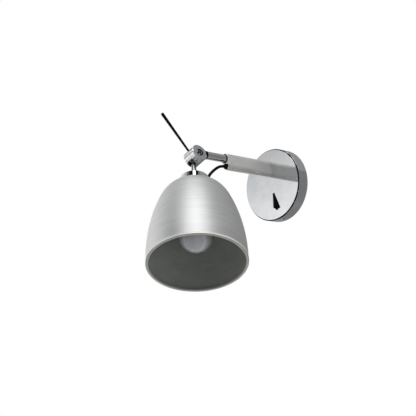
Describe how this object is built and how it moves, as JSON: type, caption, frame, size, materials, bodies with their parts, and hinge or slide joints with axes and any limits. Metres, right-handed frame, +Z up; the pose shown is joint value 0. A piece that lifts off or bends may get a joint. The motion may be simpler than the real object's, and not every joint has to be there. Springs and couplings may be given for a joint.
{
  "type": "wall lamp",
  "caption": "Wall lamp: chrome wall plate with a rocker switch, flat-oval arm, friction knuckle with a handle rod, and a brushed bell shade over a bulb.",
  "frame": {"origin": "centre of the wall plate's back face, on the wall", "axes": "+Z up, -Y out of the wall along the arm, +X to the right as one faces the lamp"},
  "size_m": [0.1244, 0.2556, 0.2421],
  "materials": {
    "chrome": "polished",
    "satin_aluminium": "satin",
    "brushed_aluminium": "brushed round the axis",
    "steel": "zinc plated",
    "brass": "bare",
    "bulb_metal": "bright",
    "black_plastic": "fine satin",
    "black_gloss": "gloss",
    "pale_plastic": "satin",
    "black_rubber": "matt",
    "core_copper": "tinned cores in sleeves",
    "glass": "clear"
  },
  "bodies": {
    "wall_mount": {"wall_bracket": "steel", "wall_plate": "chrome", "rim_screw": "steel", "terminal_block": "pale_plastic", "terminal_screws": "brass", "earth_stud": "brass", "earth_nut": "brass", "switch_body": "black_plastic", "lever_pin": "steel", "switch_contacts": "brass", "arm_backing_plate": "steel", "arm_screws": "steel", "arm_root_plug": "satin_aluminium", "arm_tube": "satin_aluminium", "arm_end_plug": "satin_aluminium", "cord_grommet": "black_rubber", "extension_tube": "chrome", "tube_ring": "black_rubber", "tube_stud": "steel", "tube_stud_nut": "steel", "inner_lead": "black_rubber", "inner_lead_cores": "core_copper", "lamp_cord_upper": "black_rubber"},
    "switch": {"switch_lever": "black_plastic"},
    "knuckle": {"knuckle_block": "chrome", "neck_ring": "black_rubber", "neck_clip": "steel", "knuckle_washers": "black_rubber", "knuckle_far_cap": "chrome", "pivot_bolt": "steel"},
    "head": {"knuckle_hub": "chrome", "handle_rod": "black_gloss", "rod_end_cap": "pale_plastic", "stem": "chrome", "shade_cap": "chrome", "stem_end_nut": "steel", "cord_gland": "black_plastic", "shade": "brushed_aluminium", "shade_bead": "brushed_aluminium", "lampholder": "black_plastic", "holder_seat": "pale_plastic", "holder_ring": "black_plastic", "holder_shell": "brass", "holder_contact": "brass", "bulb_base": "bulb_metal", "bulb_glass": "glass", "bulb_stem": "glass", "bulb_filament": "steel", "cap_wires": "core_copper", "lamp_cord_lower": "black_rubber"}
  },
  "joints": [
    {"name": "switch_rock", "type": "hinge", "parent": "wall_mount", "child": "switch", "pos_m": [0, -0.01295, -0.025], "axis": [1, 0, 0], "range_deg": [0, 8]},
    {"name": "arm_swivel", "type": "hinge", "parent": "wall_mount", "child": "knuckle", "pos_m": [0, -0.14662, 0.02779], "axis": [0, -1, 0], "range_deg": [-50, 35], "deforming": ["lamp_cord_upper"]},
    {"name": "head_tilt", "type": "hinge", "parent": "knuckle", "child": "head", "pos_m": [-0.00997, -0.14662, 0.02644], "axis": [-0.991, 0, -0.134], "range_deg": [-18, 50], "deforming": ["lamp_cord_lower"]}
  ]
}
